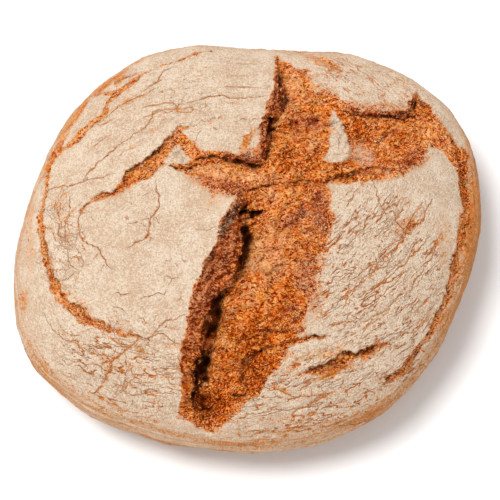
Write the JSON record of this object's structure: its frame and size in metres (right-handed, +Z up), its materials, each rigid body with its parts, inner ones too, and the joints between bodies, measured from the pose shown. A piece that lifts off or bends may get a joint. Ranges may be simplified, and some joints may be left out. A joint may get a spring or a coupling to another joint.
{
  "type": "rye bread loaf",
  "caption": "Uncut round rye bread loaf with a floured crust, torn open by a long gap and ringed by cracks.",
  "frame": {"origin": "middle of the flat bottom that the loaf rests on", "axes": "+Z up, +X along the loaf's longest extent, -Y towards the front, where the long gap ends"},
  "size_m": [0.2409, 0.2179, 0.0913],
  "materials": {
    "crust": "matte baked crust dusted with flour"
  },
  "bodies": {
    "root": {"loaf": "crust"}
  },
  "joints": []
}
